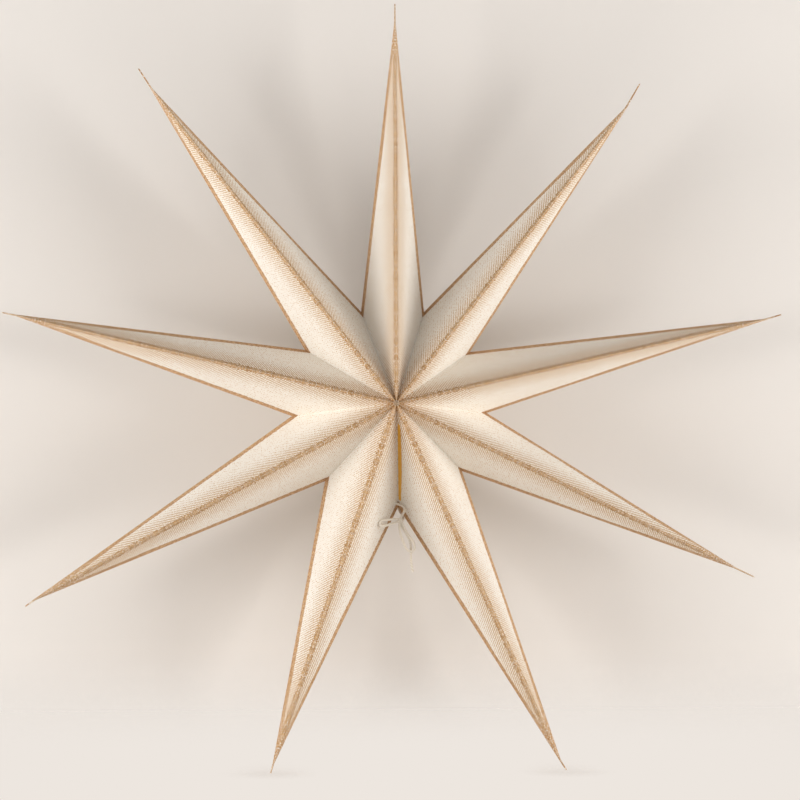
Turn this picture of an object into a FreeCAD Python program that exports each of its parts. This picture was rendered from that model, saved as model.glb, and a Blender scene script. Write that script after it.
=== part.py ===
import FreeCAD, Part
import math
import os

import Sketcher

# Folded paper star with nine hollow points, closed at one seam by two knotted strings.
# Lengths are millimetres. X runs right, Z up, the front faces -Y, and the hub is the origin.

doc = FreeCAD.newDocument("FoldedStar")
sizes = doc.addObject("Spreadsheet::Sheet", "Sizes")

GENERAL = [
    ("pitch", 40.0, "angle from one point to the next"),
    ("reach", 300.0, "hub to the tip of a point"),
    ("half_depth", 80.0, "middle plane to the front or back apex"),
    ("corner_radius", 73.3, "hub to the corner between two points"),
    ("paper", 0.4, "thickness of the folded paper"),
    ("fold_half", 0.5, "half thickness of a pressed side fold"),
    ("hub_gap", 0.4, "hub axis to the inner end of a point"),
    ("spine", 3.6, "closed paper spine at the inner end of a point"),
    ("fin_half", 0.6, "half thickness where the four walls press into one fin"),
    ("tip_half", 0.45, "half size of the blunt tip of a fin"),
    ("closed_run", 12.0, "length before the fin where the walls already touch"),
    ("glue_margin", 12.0, "glued border left round the window in a web"),
    ("string_diameter", 1.8, "thickness of the tie string"),
    ("string_room", 0.6, "free room round the string in its punched hole"),
    ("punch_depth", 8.0, "punched hole in front of or behind the middle plane"),
    ("punch_inset", 2.2, "punched hole inward from the corner, along its point"),
    ("knot_size", 4.8, "width of the tied knot"),
    ("knot_bevel", 0.7, "bevel round the edges of the knot"),
    ("knot_room", 0.45, "free room between the knot and the string ends"),
    ("knot_right", 1.2, "knot right of the seam corner"),
    ("knot_front", 12.0, "knot in front of the seam corner"),
    ("knot_drop", 9.6, "knot below the seam corner"),
    ("tape_width", 4.5, "width of the closing tape"),
    ("tape_thickness", 0.2, "thickness of the closing tape"),
    ("tape_stand", 1.0, "closing tape from the glued edge, up the wall beside it"),
    ("tape_glue", 0.1, "film of glue under the closing tape"),
    ("tape_inner", 13.0, "inner end of the closing tape along the axis of its point"),
    ("tape_outer", 6.0, "outer end of the closing tape short of the corner, along the same axis"),
]

# Points in order clockwise from the top. Each row gives what the folding left uneven:
# tip turned anticlockwise, tip further out, fin length, fin turned, and then for the corner
# on the clockwise side: corner turned anticlockwise and corner further out.
POINTS = [
    ("top", -0.7, -4.0, 15.0, 0.7, -0.5, -1.3),
    ("upper_right", 1.9, 2.0, 21.0, 7.8, 2.5, -2.9),
    ("right", 2.7, 0.0, 13.0, 3.7, 4.1, -1.0),
    ("lower_right", 4.5, 2.0, 16.0, 0.2, 6.6, 0.2),
    ("bottom_right", 5.7, 3.0, 9.0, 6.3, 4.4, 4.1),
    ("bottom_left", 2.1, -12.0, 8.0, 1.9, 0.2, 2.0),
    ("lower_left", -0.9, 8.0, 9.0, 5.9, -2.4, 0.1),
    ("left", -3.1, -6.0, 11.0, 1.8, -1.95, 1.0),
    ("upper_left", -3.0, 9.0, 18.0, -4.0, -2.3, -2.4),
]
POINT_FIELDS = ["tip_turn", "tip_out", "fin", "fin_turn", "corner_turn", "corner_out"]
# The fan is closed by hand between these two points.
SEAM_AFTER = "bottom_right"
SEAM_BEFORE = "bottom_left"

# Four spots count as flat within this many millimetres.
FLATNESS = 1e-6
# An arc of a string's route takes this share of the shorter run beside it.
ARC_SHARE = 0.45
STRING_SIDES = 6

row = 1


def put_size(alias, value, note):
    """Write one driving dimension as a plain number with its alias and a note."""
    global row
    sizes.set(f"A{row}", note)
    sizes.set(f"B{row}", str(value))
    sizes.setAlias(f"B{row}", alias)
    row += 1


for alias, value, note in GENERAL:
    put_size(alias, value, note)
for name, *values in POINTS:
    for field, value in zip(POINT_FIELDS, values):
        note = f"{field} of the {name} point".replace("_", " ")
        put_size(f"{name}_{field}", value, note)
doc.recompute()


def size(alias):
    """Read one driving dimension from the sheet."""
    return float(sizes.get(alias))


def derive(name, formulas):
    """Make a set of worked-out values, each bound to a formula over the sizes."""
    values = doc.addObject("App::VarSet", name)
    for key, formula in formulas.items():
        values.addProperty("App::PropertyFloat", key, "Derived")
        values.setExpression(key, formula)
        values.recompute()
    return values


def point_layout(index):
    """Work out the axis, the two corners and the fin of one point from the sizes.

    The axis stands square to the line between the point's two corners, so both corners
    lie at the same distance along it, which is called the seat.
    """
    name = POINTS[index][0]
    before = POINTS[index - 1][0]
    size = f"Sizes.{name}"
    fin_angle = f"((Layout_{name}.tip_angle + {size}_fin_turn) * 1deg)"
    return derive(f"Layout_{name}", {
        "upper_bearing": f"90 + Sizes.pitch * (0.5 - {index}) + Sizes.{before}_corner_turn",
        "lower_bearing": f"90 - Sizes.pitch * (0.5 + {index}) + {size}_corner_turn",
        "upper_radius": f"Sizes.corner_radius + Sizes.{before}_corner_out",
        "lower_radius": f"Sizes.corner_radius + {size}_corner_out",
        "half_gap": f"(Layout_{name}.upper_bearing - Layout_{name}.lower_bearing) / 2",
        "swing": (f"-atan((Layout_{name}.upper_radius - Layout_{name}.lower_radius) /"
                  f" ((Layout_{name}.upper_radius + Layout_{name}.lower_radius)"
                  f" * tan(Layout_{name}.half_gap * 1deg))) / 1deg"),
        "bearing": f"Layout_{name}.lower_bearing + Layout_{name}.half_gap + Layout_{name}.swing",
        "seat": (f"Layout_{name}.upper_radius"
                 f" * cos((Layout_{name}.half_gap - Layout_{name}.swing) * 1deg)"),
        "left": (f"Layout_{name}.upper_radius"
                 f" * sin((Layout_{name}.half_gap - Layout_{name}.swing) * 1deg)"),
        "right": (f"Layout_{name}.lower_radius"
                  f" * sin((Layout_{name}.half_gap + Layout_{name}.swing) * 1deg)"),
        "tip_angle": f"90 - Sizes.pitch * {index} + {size}_tip_turn - Layout_{name}.bearing",
        "tip_x": f"(Sizes.reach + {size}_tip_out) * cos(Layout_{name}.tip_angle * 1deg)",
        "tip_y": f"(Sizes.reach + {size}_tip_out) * sin(Layout_{name}.tip_angle * 1deg)",
        "fork_x": f"Layout_{name}.tip_x - {size}_fin * cos{fin_angle}",
        "fork_y": f"Layout_{name}.tip_y - {size}_fin * sin{fin_angle}",
    })


def half_widths(layout, station):
    """Give how far a section reaches to the left and right of the point's axis.

    From the hub to the corner the webs spread in proportion to the station. Beyond it the
    side folds run straight to the fin.
    """
    fin = size("fin_half")
    if station <= layout.seat:
        spread = station / layout.seat
        return layout.left * spread, layout.right * spread
    narrow = (station - layout.seat) / (layout.fork_x - layout.seat)
    left = layout.left + (layout.fork_y + fin - layout.left) * narrow
    right = layout.right + (fin - layout.fork_y - layout.right) * narrow
    return left, right


def outer_section(layout, station):
    """Work out an outer section: ridge height and shift, half height of the web, half widths."""
    left, right = half_widths(layout, station)
    return {
        "station": station,
        "crest": size("half_depth") * (1 - station / layout.tip_x) + size("fold_half"),
        "shift": layout.fork_y * station / layout.fork_x,
        "edge": size("half_depth") * max(0, 1 - station / layout.seat) + size("fold_half"),
        "left": left,
        "right": right,
    }


def tip_section(layout):
    """Work out the small blunt section that ends the fin."""
    blunt = size("tip_half")
    return {
        "station": layout.tip_x, "crest": blunt * 2, "shift": layout.tip_y, "edge": blunt / 2,
        "left": layout.tip_y + blunt, "right": blunt - layout.tip_y,
    }


def lean_of_wall(section, side):
    """Angle between a wall and the depth direction in one section."""
    across = section[side] - section["shift"] * (1 if side == "left" else -1)
    return math.atan2(across, section["crest"] - section["edge"])


def inner_section(layout, station):
    """Work out the hollow's section, one paper thickness inside the outer one."""
    section = outer_section(layout, station)
    lean = (lean_of_wall(section, "left") + lean_of_wall(section, "right")) / 2
    section["crest"] -= size("paper") / math.sin(lean)
    section["edge"] -= size("fold_half") / 2
    section["left"] -= size("paper") / math.cos(lean)
    section["right"] -= size("paper") / math.cos(lean)
    return section


def ring(section):
    """Six spots round a section: back ridge, left fold, front ridge and right fold."""
    crest, edge = section["crest"], section["edge"]
    left, right = section["left"], -section["right"]
    spots = (
        (crest, section["shift"]),
        (edge, left),
        (-edge, left),
        (-crest, section["shift"]),
        (-edge, right),
        (edge, right),
    )
    return [FreeCAD.Vector(section["station"], depth, across) for depth, across in spots]


def flat_faces(spots):
    """One flat face through the spots, or two triangles where four spots aren't in a plane."""
    if len(spots) == 4:
        normal = (spots[1] - spots[0]).cross(spots[2] - spots[0])
        if abs(normal.dot(spots[3] - spots[0])) > FLATNESS * normal.Length:
            return flat_faces(spots[:3]) + flat_faces([spots[0], spots[2], spots[3]])
    return [Part.Face(Part.makePolygon(spots + [spots[0]]))]


def fold_walls(rings):
    """Fold flat walls from ring to ring, close both ends and return the solid."""
    faces = flat_faces(rings[0]) + flat_faces(rings[-1])
    for near, far in zip(rings, rings[1:]):
        for number in range(len(near)):
            after = (number + 1) % len(near)
            faces += flat_faces([near[number], near[after], far[after], far[number]])
    shell = Part.makeShell(faces)
    shell.sewShape()
    solid = Part.makeSolid(shell)
    if solid.Volume < 0:
        solid.reverse()
    return solid


def outline(sketch, vertices):
    """Close straight edges through vertices, each given as a pair of formulas in millimetres."""
    count = len(vertices)
    probe = derive(f"Corners_{sketch.Name}", {
        f"{axis}{number}": formula
        for number, pair in enumerate(vertices) for axis, formula in zip("ab", pair)})
    spots = [FreeCAD.Vector(getattr(probe, f"a{n}"), getattr(probe, f"b{n}"), 0) for n in range(count)]
    for number in range(count):
        sketch.addGeometry(Part.LineSegment(spots[number], spots[(number + 1) % count]))
    for number in range(count):
        sketch.addConstraint(Sketcher.Constraint("Coincident", number, 2, (number + 1) % count, 1))
    for number in range(count):
        for axis, kind in (("a", "DistanceX"), ("b", "DistanceY")):
            value = getattr(probe, f"{axis}{number}")
            place = sketch.addConstraint(Sketcher.Constraint(kind, -1, 1, number, 1, value))
            sketch.renameConstraint(place, f"{axis}{number}")
            sketch.setExpression(f"Constraints.{axis}{number}", f"{probe.Name}.{axis}{number} * 1mm")


def cut(base, tool, name):
    """Cut a tool from a base."""
    result = doc.addObject("Part::Cut", name)
    result.Base = base
    result.Tool = tool
    return result


def folded_solid(name, rings):
    """Put a folded solid into the document."""
    feature = doc.addObject("Part::Feature", name)
    feature.Shape = fold_walls(rings)
    return feature


def window_tool(point):
    """Triangular prism through both webs, a glued border inside their edges."""
    lay = f"Layout_{point}"
    share = f"(1 - Sizes.glue_margin * sqrt(1 / {lay}.seat^2 + 1 / Sizes.half_depth^2))"
    tall = f"Sizes.half_depth * ({share} - Sizes.glue_margin / {lay}.seat)"
    sketch = doc.addObject("Sketcher::SketchObject", f"Window_{point}")
    outline(sketch, [
        ("Sizes.glue_margin", f"-{tall}"),
        (f"{lay}.seat * {share}", "0"),
        ("Sizes.glue_margin", tall),
    ])
    prism = doc.addObject("Part::Extrusion", f"WindowPrism_{point}")
    prism.Base = sketch
    prism.DirMode = "Normal"
    prism.Solid = True
    prism.Symmetric = True
    prism.setExpression("LengthFwd", f"({lay}.left + {lay}.right) * 2 * 1mm")
    return prism


def string_hole_tool(point, depth_sign, towards_left):
    """Round bar where the string is threaded through one flank beside the seam."""
    lay = f"Layout_{point}"
    bar = doc.addObject("Part::Cylinder", f"StringHole_{point}")
    bar.setExpression("Radius", "(Sizes.string_diameter / 2 + Sizes.string_room) * 1mm")
    bar.setExpression("Height", f"({lay}.left + {lay}.right) * 1mm")
    flip = 0 if towards_left else 180
    bar.Placement = FreeCAD.Placement(FreeCAD.Vector(), FreeCAD.Rotation(FreeCAD.Vector(1, 0, 0), flip))
    bar.setExpression("Placement.Base.x", f"({lay}.seat - Sizes.punch_inset) * 1mm")
    bar.setExpression("Placement.Base.y", f"{depth_sign} * Sizes.punch_depth * 1mm")
    return bar


def turn_to(piece, bearing):
    """Turn a piece built along +X about the depth axis to its bearing."""
    piece.Placement = FreeCAD.Placement(FreeCAD.Vector(), FreeCAD.Rotation(FreeCAD.Vector(0, 1, 0), 1))
    piece.setExpression("Placement.Rotation.Angle", f"-({bearing}) * 1deg")


def build_point(index):
    """Build one hollow paper point: folded walls, hollow, web windows and string hole."""
    name = POINTS[index][0]
    layout = point_layout(index)
    throat_station = layout.fork_x - size("closed_run")
    walls = folded_solid(f"Walls_{name}", [
        ring(outer_section(layout, size("hub_gap"))),
        ring(outer_section(layout, layout.seat)),
        ring(outer_section(layout, throat_station)),
        ring(outer_section(layout, layout.fork_x)),
        ring(tip_section(layout)),
    ])
    hollow = folded_solid(f"Hollow_{name}", [
        ring(inner_section(layout, size("hub_gap") + size("spine"))),
        ring(inner_section(layout, layout.seat)),
        ring(inner_section(layout, throat_station)),
    ])
    piece = cut(walls, hollow, f"Shell_{name}")
    piece = cut(piece, window_tool(name), f"Windowed_{name}")
    if name == SEAM_AFTER:
        piece = cut(piece, string_hole_tool(name, 1, False), f"Punched_{name}")
    if name == SEAM_BEFORE:
        piece = cut(piece, string_hole_tool(name, -1, True), f"Punched_{name}")
    piece.Label = f"point_{name}"
    turn_to(piece, f"{layout.Name}.bearing")
    return piece


def build_tape(name):
    """Lay the thin closing tape on the front wall beside the seam, along its glued edge."""
    layout = doc.getObject(f"Layout_{name}")
    inner = outer_section(layout, size("tape_inner"))
    outer = outer_section(layout, layout.seat - size("tape_outer"))
    start, end = ring(inner)[4], ring(outer)[4]
    along = (end - start).normalize()
    upward = ring(inner)[3] - start
    upward = (upward - along * upward.dot(along)).normalize()
    outward = along.cross(upward)
    corner = start + upward * size("tape_stand") + outward * size("tape_glue")
    strip = doc.addObject("Part::Box", "ClosingTape")
    strip.Label = "closing_tape"
    strip.Length = (end - start).Length
    strip.setExpression("Width", "Sizes.tape_width * 1mm")
    strip.setExpression("Height", "Sizes.tape_thickness * 1mm")
    lying = FreeCAD.Placement(FreeCAD.Matrix(
        along.x, upward.x, outward.x, corner.x,
        along.y, upward.y, outward.y, corner.y,
        along.z, upward.z, outward.z, corner.z,
        0, 0, 0, 1))
    bearing = FreeCAD.Rotation(FreeCAD.Vector(0, 1, 0), -layout.bearing)
    strip.Placement = FreeCAD.Placement(FreeCAD.Vector(), bearing) * lying
    return strip


def corner_place(lay):
    """Give the formulas for the seam corner's place, where the tie hangs."""
    return derive("Seam_corner", {
        "right": f"{lay}.lower_radius * cos({lay}.lower_bearing * 1deg)",
        "up": f"{lay}.lower_radius * sin({lay}.lower_bearing * 1deg)",
    })


def build_knot(corner):
    """Build the knot as a small bevelled block below and in front of the seam corner."""
    body = doc.addObject("PartDesign::Body", "StringKnot")
    body.Label = "string_knot"
    block = body.newObject("PartDesign::AdditiveBox", "KnotBlock")
    for side in ("Length", "Width", "Height"):
        block.setExpression(side, "Sizes.knot_size * 1mm")
    doc.recompute()
    bevel = body.newObject("PartDesign::Chamfer", "KnotBevel")
    bevel.Base = (block, [f"Edge{number + 1}" for number in range(len(block.Shape.Edges))])
    bevel.setExpression("Size", "Sizes.knot_bevel * 1mm")
    body.setExpression("Placement.Base.x",
                       f"({corner.Name}.right + Sizes.knot_right - Sizes.knot_size / 2) * 1mm")
    body.setExpression("Placement.Base.y", "-(Sizes.knot_front + Sizes.knot_size / 2) * 1mm")
    body.setExpression("Placement.Base.z",
                       f"({corner.Name}.up - Sizes.knot_drop - Sizes.knot_size / 2) * 1mm")
    return body


def route_steps(points):
    """Join straight runs by tangent arcs: each step is a run's vector or an arc's turn."""
    spots = [FreeCAD.Vector(*point) for point in points]
    steps = []
    radii = []
    length = 0
    start = spots[0]
    for before, here, after in zip(spots, spots[1:], spots[2:]):
        inward = (before - here).normalize()
        onward = (after - here).normalize()
        turn = math.pi - inward.getAngle(onward)
        tangent = ARC_SHARE * min((before - here).Length, (after - here).Length)
        radius = tangent / math.tan(turn / 2)
        centre = here + (inward + onward).normalize() * math.hypot(radius, tangent)
        axis = onward.cross(inward).normalize()
        run = here + inward * tangent - start
        steps.append(("run", run))
        steps.append(("turn", centre, axis, math.degrees(turn)))
        radii.append(round(radius, 1))
        length += run.Length + radius * turn
        start = here + onward * tangent
    steps.append(("run", spots[-1] - start))
    return steps, length + (spots[-1] - start).Length, radii


def string_section(start, along):
    """Six-sided face across the start of a run, as wide as the twisted string."""
    radius = size("string_diameter") / 2
    side = along.cross(FreeCAD.Vector(0, 1, 0)).normalize()
    other = along.cross(side).normalize()
    spots = []
    for number in range(STRING_SIDES):
        angle = 2 * math.pi * number / STRING_SIDES
        spots.append(start + side * (radius * math.cos(angle)) + other * (radius * math.sin(angle)))
    return Part.Face(Part.makePolygon(spots + [spots[0]]))


def build_string(name, points, corner):
    """Carry the string's section along its route, placed from the seam corner."""
    steps, length, radii = route_steps(points)
    face = string_section(FreeCAD.Vector(*points[0]), FreeCAD.Vector(steps[0][1]))
    full = face.Area * length
    stretches = []
    for step in steps:
        if step[0] == "run":
            stretches.append(face.extrude(step[1]))
            face.translate(step[1])
        else:
            stretches.append(face.revolve(*step[1:]))
            face.rotate(*step[1:])
    tube = doc.addObject("Part::Feature", f"String_{name}")
    tube.Shape = stretches[0].fuse(stretches[1:]).Solids[0]
    tube.Label = f"string_{name}"
    tube.Placement = FreeCAD.Placement(FreeCAD.Vector(corner.right, 0, corner.up), FreeCAD.Rotation())
    print(tube.Label, "length", round(length, 1), "radii", radii,
          "volume share", round(tube.Shape.Volume / full, 4))
    return tube


bodies = [build_point(index) for index in range(len(POINTS))]
seam_layout = f"Layout_{SEAM_AFTER}"
bodies.append(build_tape(SEAM_AFTER))
corner = corner_place(seam_layout)
bodies.append(build_knot(corner))
doc.recompute()

# String routes, measured from the seam corner. The strings end just off the knot's faces.
knot_x = size("knot_right")
knot_y = -size("knot_front")
knot_z = -size("knot_drop")
knot_reach = size("knot_size") / 2 + size("knot_room")
STRINGS = {
    "left_tie": [
        (-7.0, -8.0, 4.83),
        (-0.3, -8.0, 2.44),
        (3.7, -11.4, 0.8),
        (4.3, -12.4, -2.6),
        (knot_x + 0.4, knot_y - 0.7, knot_z + knot_reach + 0.3),
    ],
    "right_tie": [
        (knot_x + 0.6, knot_y + knot_reach, knot_z),
        (3.2, -4.6, -9.8),
        (3.9, 0.4, -8.8),
        (3.0, 5.0, -5.6),
        (-0.82, 8.0, 2.06),
        (6.15, 8.0, 5.98),
    ],
    "long_loop": [
        (knot_x - 1.1, knot_y - 1.1, knot_z - knot_reach),
        (0.6, -13.6, -18.5),
        (2.9, -14.4, -25.0),
        (5.0, -14.8, -30.4),
        (8.6, -14.6, -33.0),
        (11.6, -14.0, -30.6),
        (10.8, -13.4, -25.2),
        (6.2, -13.2, -19.6),
        (knot_x + 1.1, knot_y - 1.0, knot_z - knot_reach),
    ],
    "short_loop": [
        (knot_x - knot_reach, knot_y - 0.7, knot_z + 1.1),
        (-5.2, -13.6, -8.6),
        (-10.0, -16.4, -9.0),
        (-13.4, -19.6, -9.9),
        (-14.3, -20.4, -13.2),
        (-10.4, -17.0, -13.3),
        (-5.6, -13.8, -11.8),
        (knot_x - knot_reach, knot_y - 0.9, knot_z - 1.1),
    ],
    "tail": [
        (knot_x + 0.4, knot_y + 1.2, knot_z - knot_reach),
        (4.6, -10.4, -18.0),
        (8.6, -10.8, -24.6),
        (9.0, -11.2, -32.4),
        (8.7, -11.6, -39.6),
        (10.2, -12.0, -47.8),
    ],
}
bodies += [build_string(name, points, corner) for name, points in STRINGS.items()]
doc.recompute()

for item in doc.Objects:
    if "Invalid" in item.State or "Error" in item.State:
        raise RuntimeError(f"{item.Name} failed: {item.State}")
os.makedirs("parts", exist_ok=True)
for body in bodies:
    if body.Shape.isNull() or not body.Shape.isValid():
        raise RuntimeError(f"{body.Label} has no valid shape")
    print(body.Label, len(body.Shape.Solids), "solid", round(body.Shape.Volume, 1), "mm3")
    body.Shape.exportStep(f"parts/{body.Label}.step")
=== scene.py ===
# %% [markdown]
# # A folded paper star with nine points
# The real object is a collapsible paper lantern: nine hollow paper points, glued web to web
# into a fan that is opened into a full circle and tied shut at one seam. The front faces -Y,
# X runs right, Z up, and the hub is the origin. Lengths below are millimetres on the paper.

# %% Load the frame and keep its box
import math

import bmesh
import bpy
import numpy as np
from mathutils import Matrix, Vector


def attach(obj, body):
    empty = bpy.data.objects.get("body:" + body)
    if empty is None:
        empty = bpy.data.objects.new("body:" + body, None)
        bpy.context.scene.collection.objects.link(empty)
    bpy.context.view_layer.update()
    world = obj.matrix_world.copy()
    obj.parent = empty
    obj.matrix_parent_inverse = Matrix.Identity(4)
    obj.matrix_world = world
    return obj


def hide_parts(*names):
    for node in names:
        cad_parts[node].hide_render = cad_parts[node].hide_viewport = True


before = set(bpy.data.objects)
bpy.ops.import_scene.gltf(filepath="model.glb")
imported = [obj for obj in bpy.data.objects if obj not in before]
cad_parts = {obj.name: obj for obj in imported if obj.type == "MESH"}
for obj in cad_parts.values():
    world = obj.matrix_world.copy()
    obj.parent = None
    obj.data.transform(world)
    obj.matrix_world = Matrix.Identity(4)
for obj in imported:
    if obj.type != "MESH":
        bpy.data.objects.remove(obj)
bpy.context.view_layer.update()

# %% [markdown]
# ## Sizes of the star
# The general sizes hold for every point. Each row then adds what the folding by hand left
# uneven, so that no two points are alike, as on the real star.

# %% Sizes in millimetres and degrees
MM = 0.001
PITCH = 40.0  # turn from one point to the next
REACH = 300.0  # mean distance from the hub to a tip
HALF_DEPTH = 80.0  # length of the ridge's rise at the hub, front and back alike
CORNER_RADIUS = 73.3  # mean distance from the hub to the outer end of a valley
PAPER = 0.4
FOLD_HALF = 0.5  # half the width of a pressed fold
HUB_GAP = 0.4  # where the walls start, just clear of the point opposite
FIN_HALF = 0.6  # half the thickness where the walls press together
TIP_HALF = 0.45
GLUE_MARGIN = 12.0  # glued border round the window in a web

# Clockwise from the top: name, tip turned, tip out, fin length, fin turned, and for the corner
# on the clockwise side: corner turned, corner out.
POINTS = [
    ("top", -0.7, -4.0, 15.0, 0.7, -0.5, -1.3),
    ("upper_right", 1.9, 2.0, 21.0, 7.8, 2.5, -2.9),
    ("right", 2.7, 0.0, 13.0, 3.7, 4.1, -1.0),
    ("lower_right", 4.5, 2.0, 16.0, 0.2, 6.6, 0.2),
    ("bottom_right", 5.7, 3.0, 9.0, 6.3, 4.4, 4.1),
    ("bottom_left", 2.1, -12.0, 8.0, 1.9, 0.2, 2.0),
    ("lower_left", -0.9, 8.0, 9.0, 5.9, -2.4, 0.1),
    ("left", -3.1, -6.0, 11.0, 1.8, -1.95, 1.0),
    ("upper_left", -3.0, 9.0, 18.0, -4.0, -2.3, -2.4),
]
BOTTOM_RIGHT, BOTTOM_LEFT = 4, 5  # the two points that it stands on, with the seam between


def point_layout(index):
    """Place one point: its axis stands square to the line between its two corners.

    The seat is where both corners lie along the axis, left and right are how far off it they
    are, and the fork is where the four walls press together into the fin.
    """
    name, tip_turn, tip_out, fin, fin_turn, corner_turn, corner_out = POINTS[index]
    upper_turn, upper_out = POINTS[index - 1][-2:]
    upper = 90 + PITCH * (0.5 - index) + upper_turn
    lower = 90 - PITCH * (0.5 + index) + corner_turn
    upper_radius = CORNER_RADIUS + upper_out
    lower_radius = CORNER_RADIUS + corner_out
    half = math.radians(upper - lower) / 2
    swing = -math.atan((upper_radius - lower_radius)
                       / ((upper_radius + lower_radius) * math.tan(half)))
    bearing = math.radians(lower) + half + swing
    tip_angle = math.radians(90 - PITCH * index + tip_turn) - bearing
    tip = (REACH + tip_out) * np.array([math.cos(tip_angle), math.sin(tip_angle)])
    fin_angle = tip_angle + math.radians(fin_turn)
    fork = tip - fin * np.array([math.cos(fin_angle), math.sin(fin_angle)])
    return {
        "name": name, "bearing": bearing, "tip": tip, "fork": fork,
        "seat": upper_radius * math.cos(half - swing),
        "left": upper_radius * math.sin(half - swing),
        "right": lower_radius * math.sin(half + swing),
        "lower_bearing": math.radians(lower), "lower_radius": lower_radius,
    }


LAYOUTS = [point_layout(index) for index in range(len(POINTS))]
for layout in LAYOUTS:
    print(layout["name"], "bearing", round(math.degrees(layout["bearing"]), 1),
          "seat", round(layout["seat"], 1), "mm")

# %% [markdown]
# ## Helpers
# One function turns a written colour linear, a few add shader nodes, and two make meshes
# from whole arrays of positions. Every finished piece sits at the origin with its place in
# its mesh, and rides on the one body.


# %% Colour and node helpers
def colour(text):
    """Turn an sRGB hex colour into linear red, green, blue and full alpha."""
    values = np.array([int(text[start:start + 2], 16) for start in (0, 2, 4)]) / 255
    linear = np.where(values <= 0.04045, values / 12.92, ((values + 0.055) / 1.055) ** 2.4)
    return (*[float(value) for value in linear], 1.0)


def add(tree, kind, inputs=(), **settings):
    """Add one shader node, set its properties, and link or set its inputs in order."""
    node = tree.nodes.new(f"ShaderNode{kind}")
    for key, value in settings.items():
        setattr(node, key, value)
    pairs = inputs.items() if isinstance(inputs, dict) else enumerate(inputs)
    for key, value in pairs:
        if value is None:
            continue
        if isinstance(value, bpy.types.NodeSocket):
            tree.links.new(value, node.inputs[key])
        else:
            node.inputs[key].default_value = value
    return node


def new_material(name):
    """Make an empty node material and give it back with its tree and its shader."""
    material = bpy.data.materials.new(name)
    material.use_nodes = True
    tree = material.node_tree
    return material, tree, tree.nodes["Principled BSDF"]


def blend(tree, factor, low, high):
    """Mix two colours, each a socket or a value, by a factor socket."""
    node = add(tree, "Mix", data_type="RGBA")
    tree.links.new(factor, node.inputs["Factor"])
    for key, value in (("A", low), ("B", high)):
        if isinstance(value, bpy.types.NodeSocket):
            tree.links.new(value, node.inputs[key])
        else:
            node.inputs[key].default_value = value
    return node.outputs["Result"]


print("white turns", colour("FFFFFF"), "and mid grey", round(colour("808080")[0], 3))


# %% Mesh helpers
def make_piece(name, spots, faces, material, uvs=None, sharp=None):
    """Make a mesh object from positions in metres, lists of corners, and one UV pair a corner."""
    mesh = bpy.data.meshes.new(name)
    rows = [[int(spot) for spot in face] for face in faces]
    mesh.from_pydata(np.asarray(spots, float).tolist(), [], rows)
    for layer, pairs in (uvs or {}).items():
        mesh.uv_layers.new(name=layer).data.foreach_set("uv", np.asarray(pairs, float).ravel())
    mesh.polygons.foreach_set("use_smooth", [True] * len(mesh.polygons))
    shape = bmesh.new()
    shape.from_mesh(mesh)
    bmesh.ops.remove_doubles(shape, verts=shape.verts, dist=2e-6)
    bmesh.ops.dissolve_degenerate(shape, edges=shape.edges, dist=1e-7)
    bmesh.ops.recalc_face_normals(shape, faces=shape.faces)
    shape.to_mesh(mesh)
    shape.free()
    if sharp is not None:
        mesh.set_sharp_from_angle(angle=math.radians(sharp))
    mesh.materials.append(material)
    piece = bpy.data.objects.new(name, mesh)
    bpy.context.collection.objects.link(piece)
    return piece


def grid_faces(rows, columns):
    """Four corners of every cell of a grid with that many rows and columns of spots."""
    start = (np.arange(rows - 1)[:, None] * columns + np.arange(columns - 1)[None, :]).ravel()
    return np.stack([start, start + 1, start + columns + 1, start + columns], axis=1)


def to_world(lay, spots):
    """Turn spots by the point's bearing about the hub line, and make them metres."""
    cos, sin = math.cos(lay["bearing"]), math.sin(lay["bearing"])
    along, depth, across = spots.T
    return np.stack([along * cos - across * sin, depth, along * sin + across * cos], axis=1) * MM


print("a grid of 3 by 3 spots has", len(grid_faces(3, 3)), "cells")

# %% [markdown]
# ## Camera
# The picture was taken almost straight on, a few degrees from the left, from far away with
# a long lens, so that the front ridges stay straight and both side tips are the same size.

# %% Camera
CAMERA_TURN = -3.5
CAMERA_DISTANCE = 2.4
SENSOR_WIDTH = 36.0
LENS = 145.6
AIM_RIGHT = 0.0074
AIM_UP = 0.0022
turn = math.radians(CAMERA_TURN)
screen_right = Vector((math.cos(turn), math.sin(turn), 0))
camera = bpy.data.objects.new("Camera", bpy.data.cameras.new("Camera"))
camera.data.sensor_width = SENSOR_WIDTH
camera.data.lens = LENS
aim = screen_right * AIM_RIGHT + Vector((0, 0, AIM_UP))
back = Vector((math.sin(turn), -math.cos(turn), 0))
camera.location = aim + back * CAMERA_DISTANCE
camera.rotation_mode = "QUATERNION"
camera.rotation_quaternion = (-back).to_track_quat("-Z", "Y")
bpy.context.collection.objects.link(camera)
bpy.context.scene.camera = camera
print("camera at", [round(value, 3) for value in camera.location])

# %% [markdown]
# ## Tie strings
# The fan is closed with twisted cotton string, threaded through a punched hole on each side
# of the seam and tied in a small bow. One string comes from the left panel, goes through the
# knot and makes the long hanging loop. The other comes from the back of the right panel,
# makes the flat loop on the left, and ends in the loose tail.


# %% Cotton string material
TWISTS = 60.0  # turns of the strands along one string


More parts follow.
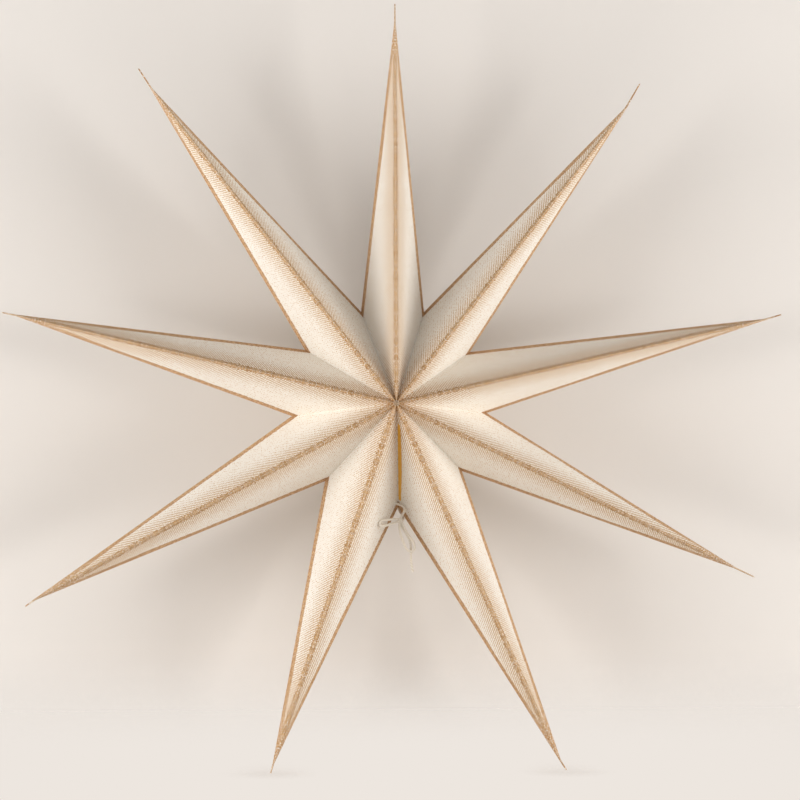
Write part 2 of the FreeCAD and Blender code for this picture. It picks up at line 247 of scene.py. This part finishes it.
def string_material():
    """Twisted cotton: pale strands wound round the string, with painted shade in the grooves
    between.
    """
    material, tree, shader = new_material("Twisted cotton string")
    split = add(tree, "SeparateXYZ", [add(tree, "UVMap").outputs["UV"]])
    turns = add(tree, "Math", [split.outputs[0], TWISTS], operation="MULTIPLY")
    phase = add(tree, "Math", [turns.outputs[0], split.outputs[1]], operation="ADD")
    angle = add(tree, "Math", [phase.outputs[0], 4 * math.pi], operation="MULTIPLY")
    wave = add(tree, "Math", [angle.outputs[0]], operation="SINE")
    place = add(tree, "TexCoord").outputs["Object"]
    fibre = add(tree, "TexNoise", {"Vector": place, "Scale": 1800.0, "Detail": 3.0})
    shade = add(tree, "MapRange", {"Value": wave.outputs[0], "From Min": -1.0, "From Max": 0.4})
    # Painted shade: the colour is darker in the grooves between the strands.
    base = blend(tree, shade.outputs[0], colour("E6DAC6"), colour("FDF8F0"))
    height = add(tree, "Math", [wave.outputs[0], fibre.outputs["Fac"]], operation="ADD")
    bump = add(tree, "Bump", {"Strength": 0.3, "Distance": 0.0001, "Height": height.outputs[0]})
    tree.links.new(base, shader.inputs["Base Color"])
    tree.links.new(bump.outputs["Normal"], shader.inputs["Normal"])
    shader.inputs["Roughness"].default_value = 0.85
    return material


cotton = string_material()
print("material", cotton.name)

# %% The two strings
STRING_DIAMETER = 1.8
seam = LAYOUTS[BOTTOM_RIGHT]
corner = seam["lower_radius"] * np.array(
    [math.cos(seam["lower_bearing"]), 0, math.sin(seam["lower_bearing"])])

# Measured from the seam corner: the knot's centre, how far it reaches to each side, and the
# spots on each string.
KNOT = np.array([1.2, -12.0, -9.6])
KNOT_REACH = 2.85
LEFT_STRING = [
    (-7.0, -8.0, 4.83), (-0.3, -8.0, 2.44), (3.7, -11.4, 0.8), (4.3, -12.4, -2.6),
    KNOT + (0.4, -0.7, KNOT_REACH + 0.3), KNOT, KNOT + (-1.1, -1.1, -KNOT_REACH),
    (0.6, -13.6, -18.5), (2.9, -14.4, -25.0), (5.0, -14.8, -30.4), (8.6, -14.6, -33.0),
    (11.6, -14.0, -30.6), (10.8, -13.4, -25.2), (6.2, -13.2, -19.6),
    KNOT + (1.1, -1.0, -KNOT_REACH), KNOT + (0.6, -0.6, -0.8),
]
RIGHT_STRING = [
    (6.15, 8.0, 5.98), (-0.82, 8.0, 2.06), (3.0, 5.0, -5.6), (3.9, 0.4, -8.8),
    (3.2, -4.6, -9.8), KNOT + (0.6, KNOT_REACH, 0), KNOT,
    KNOT + (-KNOT_REACH, -0.7, 1.1), (-5.2, -13.6, -8.6), (-10.0, -16.4, -9.0),
    (-13.8, -19.8, -9.0), (-15.3, -21.1, -11.4), (-13.6, -19.6, -13.8), (-10.4, -17.0, -13.3),
    (-5.6, -13.8, -11.8),
    KNOT + (-KNOT_REACH, -0.9, -1.1), KNOT, KNOT + (0.4, 1.2, -KNOT_REACH),
    (4.6, -10.4, -18.0), (8.6, -10.8, -24.6), (9.0, -11.2, -32.4), (8.7, -11.6, -39.6),
    (10.2, -12.0, -47.8),
]


def string_piece(name, spots, material):
    """Lay one smooth open curve along the spots, as thick as the string."""
    data = bpy.data.curves.new(name, "CURVE")
    data.dimensions = "3D"
    data.bevel_depth = STRING_DIAMETER / 2 * MM
    data.bevel_resolution = 3
    data.use_fill_caps = True
    spline = data.splines.new("NURBS")
    spline.points.add(len(spots) - 1)
    for control, spot in zip(spline.points, spots):
        control.co = (*((np.asarray(spot) + corner) * MM), 1)
    spline.order_u = 3
    spline.use_endpoint_u = True
    spline.resolution_u = 8
    data.materials.append(material)
    piece = bpy.data.objects.new(name, data)
    bpy.context.collection.objects.link(piece)
    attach(piece, "root")
    return piece


left_string = string_piece("left_string", LEFT_STRING, cotton)
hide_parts("string_left_tie", "string_long_loop")
right_string = string_piece("right_string", RIGHT_STRING, cotton)
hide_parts("string_right_tie", "string_short_loop", "string_tail")
print("string ends at", [round(float(value), 1) for value in corner + RIGHT_STRING[-1]], "mm")

# %% [markdown]
# ### The knot
# The two strings are wound round each other and pulled tight. A closed three-lobed winding
# of the same string gives the small lump with its crossing turns.


# %% Wound knot
KNOT_SIZE = 1.55
KNOT_TWIST_SHARE = 0.25  # the knot's string, as a share of a whole string's twists


def wound_knot(centre, size, radius, sides=10, steps=96):
    """Tube round a closed path that winds three times while it goes round twice.

    Path = (sin t + 2 sin 2t, -1.6 sin 3t, cos t - 2 cos 2t) x size / 3, and the tube is a
    circle of that radius square to the path.
    """
    t = np.linspace(0, 2 * np.pi, steps, endpoint=False)
    path = np.stack([np.sin(t) + 2 * np.sin(2 * t), -np.sin(3 * t) * 1.6,
                     np.cos(t) - 2 * np.cos(2 * t)], axis=1) * size / 3
    along = np.roll(path, -1, axis=0) - np.roll(path, 1, axis=0)
    along /= np.linalg.norm(along, axis=1, keepdims=True)
    side = np.cross(along, path)
    side /= np.linalg.norm(side, axis=1, keepdims=True)
    other = np.cross(along, side)
    around = np.linspace(0, 2 * np.pi, sides, endpoint=False)
    spots = (path[:, None] + radius * (np.cos(around)[None, :, None] * side[:, None]
                                      + np.sin(around)[None, :, None] * other[:, None]))
    here = np.arange(steps * sides).reshape(steps, sides)
    faces = np.stack([here, np.roll(here, -1, 1), np.roll(np.roll(here, -1, 0), -1, 1),
                      np.roll(here, -1, 0)], axis=2).reshape(-1, 4)
    across = np.arange(sides) / sides
    step = KNOT_TWIST_SHARE / steps
    length = np.arange(steps) * step
    corners = [(0, 0), (0, 1), (1, 1), (1, 0)]
    uv = np.stack([np.stack(np.broadcast_arrays((length + down * step)[:, None],
                                                (across + over / sides)[None, :]), axis=2)
                   for down, over in corners], axis=2)
    return spots.reshape(-1, 3) + centre, faces, uv.reshape(-1, 2)


knot_spots, knot_faces, knot_uv = wound_knot(corner + KNOT, KNOT_SIZE, STRING_DIAMETER / 2)
knot = make_piece("string_knot_wound", knot_spots * MM, knot_faces, cotton, {"UVMap": knot_uv})
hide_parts("string_knot")
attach(knot, "root")
print("knot", len(knot_faces), "faces")

# %% [markdown]
# ## Printed paper
# Cream paper with a tan print that looks scraped on with a comb: a ragged stripe along each
# side edge and along each ridge, with a fine pale line where the ridge is creased, and a
# slanting hatch that leaves the ridge and breaks into dots. The pattern reads two maps in
# millimetres: along and away from the ridge, and along and away from the side edge.


# %% Printed paper material
RIDGE_STRIPE = (4.1, 4.9)  # full ink up to the first, bare paper past the second
EDGE_STRIPE = (5.2, 5.8)
CREASE = (0.25, 0.6)
WANDER = 9.0  # how far the stripes' borders may wander in all
HATCH_SLANT = math.radians(51)
HATCH_PITCH = 1.7
BEAD_PITCH = 2.1  # dots along one line of the hatch
HATCH_REACH = (2.0, 40.0)


def printed_paper():
    """Cream paper, screen printed: matt, warm white, with ink that looks dry and scraped.

    The ink covers more near the ridge and breaks into dots further off, so the eye reads a
    soft tan shadow along each fold. A fine fibre bump keeps the paper from looking like card.
    """
    material, tree, shader = new_material("Printed star paper")

    def math_node(operation, first, second=None, third=None):
        return add(tree, "Math", [first, second, third], operation=operation).outputs[0]

    def ramp(value, limits, start=0.0, end=1.0):
        return add(tree, "MapRange", {"Value": value, "From Min": limits[0], "From Max": limits[1],
                                      "To Min": start, "To Max": end},
                   interpolation_type="SMOOTHSTEP").outputs[0]

    def noise(vector, scale, detail):
        node = add(tree, "TexNoise", {"Vector": vector, "Scale": scale, "Detail": detail})
        return node.outputs["Fac"]

    def ink(amount, strength, base, tone):
        return blend(tree, math_node("MULTIPLY", amount, strength), base, tone)

    ridge_map = add(tree, "UVMap", uv_map="from_ridge").outputs["UV"]
    edge_map = add(tree, "UVMap", uv_map="from_edge").outputs["UV"]
    ridge_parts = add(tree, "SeparateXYZ", [ridge_map])
    along, off_ridge = ridge_parts.outputs[0], ridge_parts.outputs[1]
    off_edge = add(tree, "SeparateXYZ", [edge_map]).outputs[1]

    # Noise scales are per millimetre of paper.
    ragged = noise(ridge_map, 0.45, 4.0)
    flecks = ramp(noise(ridge_map, 1.1, 2.0), (0.54, 0.62))
    specks = noise(ridge_map, 0.95, 1.0)
    clouds = noise(ridge_map, 0.05, 3.0)
    stipple = ramp(noise(ridge_map, 1.6, 1.0), (0.60, 0.72), 0.0, 0.10)
    mottling = ramp(ragged, (0.35, 0.65))

    # Stripes: the edge stripe wanders a quarter as far as the ridge stripe.
    wander = math_node("MULTIPLY_ADD", ragged, WANDER, -WANDER / 2)
    ridge_stripe = ramp(math_node("ADD", off_ridge, wander), RIDGE_STRIPE, 1.0, 0.0)
    edge_stripe = ramp(math_node("MULTIPLY_ADD", wander, 0.25, off_edge), EDGE_STRIPE, 1.0, 0.0)
    crease = ramp(off_ridge, CREASE, 1.0, 0.0)

    # Hatch: slanted lines of dots that lean towards the tip, thinner further from the ridge.
    # There is ink where the waves along and across the lines rise above a limit.
    across_lines = math_node("SUBTRACT", math_node("MULTIPLY", along, math.sin(HATCH_SLANT)),
                             math_node("MULTIPLY", off_ridge, math.cos(HATCH_SLANT)))
    along_lines = math_node("ADD", math_node("MULTIPLY", along, math.cos(HATCH_SLANT)),
                            math_node("MULTIPLY", off_ridge, math.sin(HATCH_SLANT)))
    lines = math_node("SINE", math_node("MULTIPLY", across_lines, 2 * math.pi / HATCH_PITCH))
    beads = math_node("SINE", math_node("MULTIPLY", along_lines, 2 * math.pi / BEAD_PITCH))
    fading = ramp(off_ridge, HATCH_REACH)
    both = math_node("MULTIPLY_ADD", beads, math_node("MULTIPLY_ADD", fading, 0.4, 0.45), lines)
    level = math_node("MULTIPLY_ADD", both, 0.42, 0.5)
    breaks = math_node("MULTIPLY", math_node("SUBTRACT", specks, 0.5),
                       math_node("MULTIPLY_ADD", fading, 2.4, 1.2))
    limit = math_node("ADD", math_node("MULTIPLY_ADD", fading, 1.0, 0.28), breaks)
    hatch = ramp(math_node("SUBTRACT", level, limit), (0.0, 0.12))

    # The inks one over the other, then near-white specks that thin out away from the ridge, and the
    # crease.
    base = blend(tree, clouds, colour("F6F0E6"), colour("FBF7F0"))
    base = blend(tree, stipple, base, colour("D8BE9A"))
    base = ink(hatch, 0.9, base, colour("C39A62"))
    golden = blend(tree, mottling, colour("A87E4E"), colour("CFA878"))
    base = blend(tree, ridge_stripe, base, golden)
    kraft = blend(tree, mottling, colour("B0855A"), colour("D2AA7C"))
    base = ink(edge_stripe, math_node("MULTIPLY_ADD", flecks, -0.35, 1.0), base, kraft)
    base = ink(ramp(specks, (0.59, 0.62)), ramp(off_ridge, (5.0, 18.0), 0.95, 0.0),
               base, colour("FFFBF4"))
    base = ink(crease, 0.4, base, colour("F4E7D2"))
    tree.links.new(base, shader.inputs["Base Color"])
    shader.inputs["Roughness"].default_value = 0.72
    shader.inputs["Specular IOR Level"].default_value = 0.25

    fibre = noise(add(tree, "TexCoord").outputs["Object"], 900.0, 3.0)
    bump = add(tree, "Bump", {"Strength": 0.25, "Distance": 0.0001, "Height": fibre})
    tree.links.new(bump.outputs["Normal"], shader.inputs["Normal"])
    return material


paper = printed_paper()
print("material", paper.name, "with", len(paper.node_tree.nodes), "nodes")

# %% [markdown]
# ## The nine points
# Each point is one sheet folded round a hollow: two front walls that meet in the ridge, two
# back walls, and two webs glued to the neighbours, each with a window inside its glued
# border. Every wall is one flat triangle, from the hub to the corner and on to the tip, where
# all four press together into the fin.


# %% Sections and walls
WAVE_HEIGHT = 0.35


def section(lay, station):
    """Crest, shift, fold height and half widths of the section at each station.

    Each is a straight line from the hub to the seat, the fork and the tip: the crest falls to
    the fin, the fold closes at the seat, and the halves widen to the corners and narrow again.
    """
    fork_x, fork_y = lay["fork"]
    tip_x, tip_y = lay["tip"]
    top = HALF_DEPTH + FOLD_HALF
    fork_crest = HALF_DEPTH * (1 - fork_x / tip_x) + FOLD_HALF
    bare, full = [0, fork_x, tip_x], [0, lay["seat"], fork_x, tip_x]
    crest = np.interp(station, bare, [top, fork_crest, TIP_HALF * 2])
    shift = np.interp(station, bare, [0, fork_y, tip_y])
    fold = np.interp(station, full, [top, FOLD_HALF, FOLD_HALF, TIP_HALF / 2])
    left = np.interp(station, full, [0, lay["left"], fork_y + FIN_HALF, tip_y + TIP_HALF])
    right = np.interp(station, full, [0, lay["right"], FIN_HALF - fork_y, TIP_HALF - tip_y])
    return crest, shift, fold, left, right


def side_width(lay, station, sign):
    """How far out the side fold lies at each station: left is positive, right negative."""
    return section(lay, station)[3 if sign > 0 else 4] * sign


def flank(lay, station, share, sign, front, seed):
    """One wall: at each station a straight line from the ridge to the side fold, slightly uneven.

    The unevenness is a sum of long waves that dies out at the ridge, the fold and the hub.
    """
    crest, shift, fold = section(lay, station)[:3]
    ridge = np.stack([station, crest, shift], axis=1)
    chord = np.stack([station, fold, side_width(lay, station, sign)], axis=1) - ridge
    outward = np.stack([0 * station, sign * chord[:, 2], -sign * chord[:, 1]], axis=1)
    outward /= np.linalg.norm(outward, axis=1, keepdims=True)
    rising = np.clip((station - lay["seat"]) / 60, 0, 1)
    falling = np.clip((lay["fork"][0] - station) / 40, 0, 1)
    waves = (np.sin(station / 23 + seed) + 0.6 * np.sin(station / 11 + seed * 2.3)
             + 0.4 * np.sin(station / 47 + seed * 1.7))
    uneven = WAVE_HEIGHT * (waves * rising * falling)[:, None] * np.sin(np.pi * share)[None, :]
    spots = (ridge[:, None] + chord[:, None] * share[None, :, None]
             + outward[:, None] * uneven[..., None])
    if front:
        spots[..., 1] *= -1
    return spots


ends = section(LAYOUTS[0], np.array([0.0, LAYOUTS[0]["seat"]]))
print("top point: crest", ends[0].round(1), "fold", ends[2].round(1), "left", ends[3].round(1))


# %% Walls with their print maps
def distance_map(spots, start, end):
    """Length along and distance from the line from start to end, for every spot."""
    direction = (end - start) / np.linalg.norm(end - start)
    away = spots - start
    along = away @ direction
    return np.stack([along, np.linalg.norm(away - along[..., None] * direction, axis=-1)], axis=-1)


def flank_grid(lay, station, share, sign, front, seed):
    """Spots, faces and the two maps of one wall, one pair a face corner."""
    spots = flank(lay, station, share, sign, front, seed)
    seat, (fork_x, fork_y) = lay["seat"], lay["fork"]
    crest, _, fold, _, _ = section(lay, np.array([seat, fork_x]))
    width = side_width(lay, np.array([seat, fork_x]), sign)
    depth = -1 if front else 1
    lines = {
        "from_ridge": (np.array([0, depth * (HALF_DEPTH + FOLD_HALF), 0]),
                       np.array([fork_x, depth * crest[1], fork_y])),
        "from_edge": (np.array([seat, depth * fold[0], width[0]]),
                      np.array([fork_x, depth * fold[1], width[1]])),
    }
    faces = grid_faces(*spots.shape[:2])
    if (sign > 0) == front:
        faces = faces[:, ::-1]
    flat = spots.reshape(-1, 3)
    maps = {key: distance_map(flat, *line)[faces.ravel()] for key, line in lines.items()}
    return flat, faces, maps


SHARES = 15  # spots across a wall
widest = flank(LAYOUTS[0], np.array([LAYOUTS[0]["seat"]]), np.linspace(0, 1, SHARES), 1, True, 0)[0]
print("a wall is", round(float(np.linalg.norm(widest[0] - widest[-1])), 1), "mm wide at its corner")


# %% Webs
def web_grid(lay, station, sign):
    """One web: a glued border round a three-sided window, as strips between two outlines."""
    seat = lay["seat"]
    near = station[station <= seat + 1e-9]
    fold = section(lay, near)[2]
    width = side_width(lay, near, sign)
    front = np.stack([near, -fold, width], axis=1)
    rear = np.stack([near, fold, width], axis=1)
    share = 1 - GLUE_MARGIN * math.sqrt(1 / seat ** 2 + 1 / HALF_DEPTH ** 2)
    tall = HALF_DEPTH * (share - GLUE_MARGIN / seat)
    gone = (near - near[0]) / (near[-1] - near[0])
    along = GLUE_MARGIN + (seat * share - GLUE_MARGIN) * gone
    rise = tall * (near[-1] - near) / (near[-1] - near[0])
    across = along * width[-1] / seat
    inner_front = np.stack([along, -rise, across], axis=1)
    inner_rear = np.stack([along, rise, across], axis=1)
    steps = np.linspace(0, 1, 9)[:, None]
    hub_strip = np.stack([front[0] + (rear[0] - front[0]) * steps,
                          inner_front[0] + (inner_rear[0] - inner_front[0]) * steps], axis=1)
    corner_strip = np.array([[front[-1], inner_front[-1]], [rear[-1], inner_front[-1]]])
    return [np.stack([front, inner_front], axis=1), np.stack([inner_rear, rear], axis=1),
            hub_strip, corner_strip]


seat = LAYOUTS[0]["seat"]
window = 1 - GLUE_MARGIN * math.sqrt(1 / seat ** 2 + 1 / HALF_DEPTH ** 2)
print("a web's window ends", round(seat * (1 - window), 1), "mm short of the corner")


# %% One whole point
BLANK = 80.0  # so far from ridge and edge that no ink is printed
FOLD_FROM_RIDGE, FOLD_FROM_EDGE = 60.0, 1.5  # the side fold's own face lies in the edge stripe


def side_fold(lay, station, sign):
    """The narrow face along the side fold, from the corner to the tip, and its inked maps."""
    outer = station[station >= lay["seat"] - 1e-9]
    height = section(lay, outer)[2]
    width = side_width(lay, outer, sign)
    spots = np.stack([np.stack([outer, -height, width], axis=1),
                      np.stack([outer, height, width], axis=1)], axis=1)
    cells = grid_faces(*spots.shape[:2])
    flat = spots.reshape(-1, 3)
    along = flat[cells.ravel()][:, 0]
    maps = {"from_ridge": np.stack([along, np.full(cells.size, FOLD_FROM_RIDGE)], axis=1),
            "from_edge": np.stack([along, np.full(cells.size, FOLD_FROM_EDGE)], axis=1)}
    return flat, cells, maps


def end_cap(lay, end, share):
    """A fan of faces that closes the point at its hub end or at its tip."""
    sides = [flank(lay, end, share, sign, front, 0)[0]
             for sign, front in ((1, True), (1, False), (-1, False), (-1, True))]
    ring = np.concatenate([sides[0], sides[1][::-1], sides[2], sides[3][::-1]])
    fan = np.arange(len(ring))
    faces = np.stack([fan, np.roll(fan, -1), np.full(len(ring), len(ring))], axis=1)
    return np.concatenate([ring, ring.mean(axis=0)[None]]), faces


def point_piece(index):
    """Fold one whole point: four walls, two webs with windows, side folds and both ends."""
    lay = LAYOUTS[index]
    seat, fork_x, tip_x = lay["seat"], lay["fork"][0], lay["tip"][0]
    station = np.unique(np.concatenate([
        np.linspace(HUB_GAP, seat, 9), np.linspace(seat, fork_x, 41),
        np.linspace(fork_x, tip_x, 5)]))
    share = np.linspace(0, 1, SHARES)
    patches = []
    for sign in (1, -1):
        for front in (True, False):
            seed = index * 4 + sign + 2 * front
            patches.append(flank_grid(lay, station, share, sign, front, seed))
        for strip in web_grid(lay, station, sign):
            patches.append((strip.reshape(-1, 3), grid_faces(*strip.shape[:2])))
        patches.append(side_fold(lay, station, sign))
    patches += [end_cap(lay, end, share) for end in (station[:1], station[-1:])]

    starts = np.cumsum([0] + [len(patch[0]) for patch in patches])
    rows = [face for start, patch in zip(starts, patches) for face in (patch[1] + start).tolist()]
    maps = {key: np.concatenate([patch[2][key] if len(patch) > 2
                                 else np.full((patch[1].size, 2), BLANK) for patch in patches])
            for key in ("from_ridge", "from_edge")}
    return to_world(lay, np.concatenate([patch[0] for patch in patches])), rows, maps


print("one point has", len(point_piece(0)[1]), "faces")


# %% Fold the nine points
SHARP_FOLD = 7  # degrees: every pressed fold stays sharp, the slight waves stay smooth


def fold_point(index):
    """Make one point, give its paper real thickness, and stand it in for its CAD node."""
    name = LAYOUTS[index]["name"]
    world, rows, maps = point_piece(index)
    piece = make_piece(f"folded_{name}", world, rows, paper, maps, sharp=SHARP_FOLD)
    thick = piece.modifiers.new("Paper thickness", "SOLIDIFY")
    thick.thickness = PAPER * MM
    thick.offset = -1
    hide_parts(f"point_{name}")
    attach(piece, "root")
    return piece


points = [fold_point(index) for index in range(len(POINTS))]
print(len(points), "points,", sum(len(piece.data.polygons) for piece in points), "faces")

# %% [markdown]
# ## Closing tape
# A strip of gummed paper tape holds the seam shut. Only its amber edge shows, on the wall of
# the bottom right point just in front of the valley, where it is pressed against the paper.


# %% Gummed tape material
def tape_material():
    """Gummed kraft tape: amber, slightly shiny from the dried gum, with faint fibres."""
    material, tree, shader = new_material("Gummed paper tape")
    place = add(tree, "TexCoord").outputs["Object"]
    fibre = add(tree, "TexNoise", {"Vector": place, "Scale": 350.0, "Detail": 4.0})
    base = blend(tree, fibre.outputs["Fac"], colour("E2A024"), colour("F7C048"))
    tree.links.new(base, shader.inputs["Base Color"])
    shader.inputs["Roughness"].default_value = 0.45
    return material


gummed = tape_material()
print("material", gummed.name)

# %% Tape strip
TAPE_INNER = 13.0  # bare length towards the hub
TAPE_OUTER = 6.0  # bare length towards the corner
TAPE_STAND = 1.0  # from the bottom of the valley
TAPE_WIDTH = 4.5
TAPE_THICKNESS = 0.2
TAPE_GLUE = 0.1
TAPE_STEPS = 61


def tape_piece():
    """Strip on the wall beside the seam, along its glued edge, with slightly torn sides.

    Seen width = tape width x (0.35 + 0.5 sine), widest past the middle, and two small waves
    tear each side.
    """
    lay = LAYOUTS[BOTTOM_RIGHT]
    ends = np.array([TAPE_INNER, lay["seat"] - TAPE_OUTER])
    start, end = flank(lay, ends, np.array([1.0]), -1, True, 0)[:, 0]
    ridge = flank(lay, ends, np.array([0.0]), -1, True, 0)[0, 0]
    along = (end - start) / np.linalg.norm(end - start)
    upward = ridge - start
    upward -= along * (upward @ along)
    upward /= np.linalg.norm(upward)
    outward = np.cross(along, upward)
    length = np.linspace(0, np.linalg.norm(end - start), TAPE_STEPS)
    torn = 0.12 * np.sin(length * 2.1) + 0.08 * np.sin(length * 5.3)
    width = TAPE_WIDTH * (0.35 + 0.5 * np.sin(np.linspace(0.15, 0.9, TAPE_STEPS) * np.pi))
    across = np.stack([TAPE_STAND + torn, TAPE_STAND + width + np.roll(torn, 7)], axis=1)
    flat = start + length[:, None, None] * along + across[..., None] * upward
    layers = [flat + outward * lift for lift in (TAPE_GLUE, TAPE_GLUE + TAPE_THICKNESS)]
    spots = np.concatenate([layer.reshape(-1, 3) for layer in layers])
    total = 2 * TAPE_STEPS
    cells = grid_faces(TAPE_STEPS, 2)
    rim = np.concatenate([np.arange(0, total, 2), np.arange(total - 1, 0, -2)])
    sides = np.stack([rim, np.roll(rim, -1), np.roll(rim, -1) + total, rim + total], axis=1)
    return to_world(lay, spots), np.concatenate([cells, cells[:, ::-1] + total, sides])


tape_spots, tape_faces = tape_piece()
tape = make_piece("closing_tape_strip", tape_spots, tape_faces, gummed, sharp=40)
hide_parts("closing_tape")
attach(tape, "root")
print("tape", len(tape_faces), "faces")

# %% [markdown]
# ## Studio
# The star stands on its two lowest tips just in front of a pale paper sweep: a floor that
# curves up into a wall. The wall shows only from its lit side, so the star can be seen from
# behind as well. Two wide soft lamps stand low on the left and right, with a weaker one
# further round on each side, and a plain pale room fills the shadows.

# %% Sweep, in metres
FLOOR_Z = -0.2746
FLOOR_FRONT = -1.6
WALL_Y = 0.092
WALL_TOP = 1.2
SWEEP_RADIUS = 0.085
SWEEP_WIDTH = 3.0
FADE_START = -0.185  # heights between which the sweep fades into the room for the camera
FADE_END = -0.262
TIP_SHADE = 0.22  # how much of the floor stays seen at a tip that stands on it
TIP_SHADE_REACH = 0.04


def sweep_surface():
    """Floor, quarter turn and wall as one profile pulled sideways."""
    floor_y = np.linspace(FLOOR_FRONT, WALL_Y - SWEEP_RADIUS, 20)
    bend = np.linspace(0, np.pi / 2, 13)[1:]
    wall_z = np.linspace(FLOOR_Z + SWEEP_RADIUS, WALL_TOP, 20)[1:]
    depth = np.concatenate([floor_y, WALL_Y - SWEEP_RADIUS + SWEEP_RADIUS * np.sin(bend),
                            np.full(len(wall_z), WALL_Y)])
    height = np.concatenate([np.full(len(floor_y), FLOOR_Z),
                             FLOOR_Z + SWEEP_RADIUS * (1 - np.cos(bend)), wall_z])
    width = np.linspace(-SWEEP_WIDTH / 2, SWEEP_WIDTH / 2, 21)
    spots = np.stack(np.broadcast_arrays(width[None], depth[:, None], height[:, None]), axis=2)
    return spots.reshape(-1, 3), grid_faces(len(depth), len(width))


def tip_place(index):
    """Tip = reach x (cos a, 0, sin a), a = 90 - pitch x index + turn, in metres."""
    turned, out = POINTS[index][1:3]
    angle = math.radians(90 - PITCH * index + turned)
    reach = (REACH + out) * MM
    return (reach * math.cos(angle), 0.0, reach * math.sin(angle))


def sweep_material():
    """Matt pale paper on its lit side, clear from behind, fading into the room at the bottom.

    Round the two tips that it carries the floor stays partly seen, with their soft shadows.
    """
    material, tree, shader = new_material("Pale paper sweep")
    shader.inputs["Base Color"].default_value = colour("ECE8E4")
    shader.inputs["Roughness"].default_value = 0.9
    shader.inputs["Specular IOR Level"].default_value = 0.1
    clear = add(tree, "BsdfTransparent")
    facing = add(tree, "NewGeometry").outputs["Backfacing"]
    spots = add(tree, "TexCoord").outputs["Object"]
    place = add(tree, "SeparateXYZ", [spots])
    lower = add(tree, "MapRange", {"Value": place.outputs[2], "From Min": FADE_START,
                                   "From Max": FADE_END}, interpolation_type="SMOOTHSTEP")
    fade = add(tree, "Math", [lower.outputs[0], add(tree, "LightPath").outputs["Is Camera Ray"]],
               operation="MULTIPLY")
    for index in (BOTTOM_RIGHT, BOTTOM_LEFT):
        away = add(tree, "VectorMath", [spots, tip_place(index)], operation="DISTANCE")
        kept = add(tree, "MapRange", {"Value": away.outputs["Value"], "From Min": 0.0,
                                      "From Max": TIP_SHADE_REACH, "To Min": 1 - TIP_SHADE},
                   interpolation_type="SMOOTHSTEP")
        fade = add(tree, "Math", [fade.outputs[0], kept.outputs[0]], operation="MULTIPLY")
    unseen = add(tree, "Math", [facing, fade.outputs[0]], operation="MAXIMUM")
    mix = add(tree, "MixShader", [unseen.outputs[0], shader.outputs[0], clear.outputs[0]])
    tree.links.new(mix.outputs[0], tree.nodes["Material Output"].inputs["Surface"])
    return material


sweep_spots, sweep_faces = sweep_surface()
sweep_mesh = bpy.data.meshes.new("paper_sweep")
sweep_mesh.from_pydata(sweep_spots.tolist(), [], sweep_faces.tolist())
sweep_mesh.polygons.foreach_set("use_smooth", [True] * len(sweep_mesh.polygons))
sweep_mesh.materials.append(sweep_material())
sweep = bpy.data.objects.new("paper_sweep", sweep_mesh)
bpy.context.collection.objects.link(sweep)
print("sweep", len(sweep_faces), "faces")

# %% Lamps
# Name, place and size in metres, power in watts.
LAMPS = [
    ("Lamp_left", (-1.3, -0.95, -0.08), (0.9, 0.36), 10.6),
    ("Lamp_right", (1.3, -0.95, -0.08), (0.9, 0.36), 12.5),
    ("Lamp_left_side", (-1.6, -0.45, -0.05), (0.8, 0.4), 3.8),
    ("Lamp_right_side", (1.6, -0.45, -0.05), (0.8, 0.4), 1.2),
]
LAMP_TINT = colour("FFFDFA")[:3]


def soft_lamp(name, place, size, power):
    """Wide, low area lamp at a place, turned to the star's centre."""
    data = bpy.data.lights.new(name, "AREA")
    data.shape = "RECTANGLE"
    data.size, data.size_y = size
    data.energy = power
    data.color = LAMP_TINT
    lamp = bpy.data.objects.new(name, data)
    lamp.location = place
    lamp.rotation_mode = "QUATERNION"
    lamp.rotation_quaternion = (-Vector(place)).to_track_quat("-Z", "Y")
    bpy.context.collection.objects.link(lamp)
    return lamp


lamps = [soft_lamp(*row) for row in LAMPS]
print("lamps", [lamp.name for lamp in lamps])

# %% World
# The light that fills the room is weaker than the pale background that the camera sees.
ROOM_LIGHT = 0.335
world = bpy.data.worlds.new("Pale room")
world.use_nodes = True
bpy.context.scene.world = world
room = world.node_tree
light = room.nodes["Background"]
light.inputs["Color"].default_value = colour("FFFDFB")
light.inputs["Strength"].default_value = ROOM_LIGHT
shown = add(room, "Background", [colour("EDE6DF"), 1.0])
rays = add(room, "LightPath")
direct = add(room, "Math", [rays.outputs["Is Camera Ray"], rays.outputs["Is Glossy Ray"]],
             operation="MAXIMUM")
seen = add(room, "Math", [direct.outputs[0], rays.outputs["Is Transmission Ray"]],
           operation="MAXIMUM")
mixed = add(room, "MixShader", [seen.outputs[0], light.outputs[0], shown.outputs[0]])
room.links.new(mixed.outputs[0], room.nodes["World Output"].inputs["Surface"])
bpy.context.scene.view_settings.view_transform = "Standard"
print("studio ready")
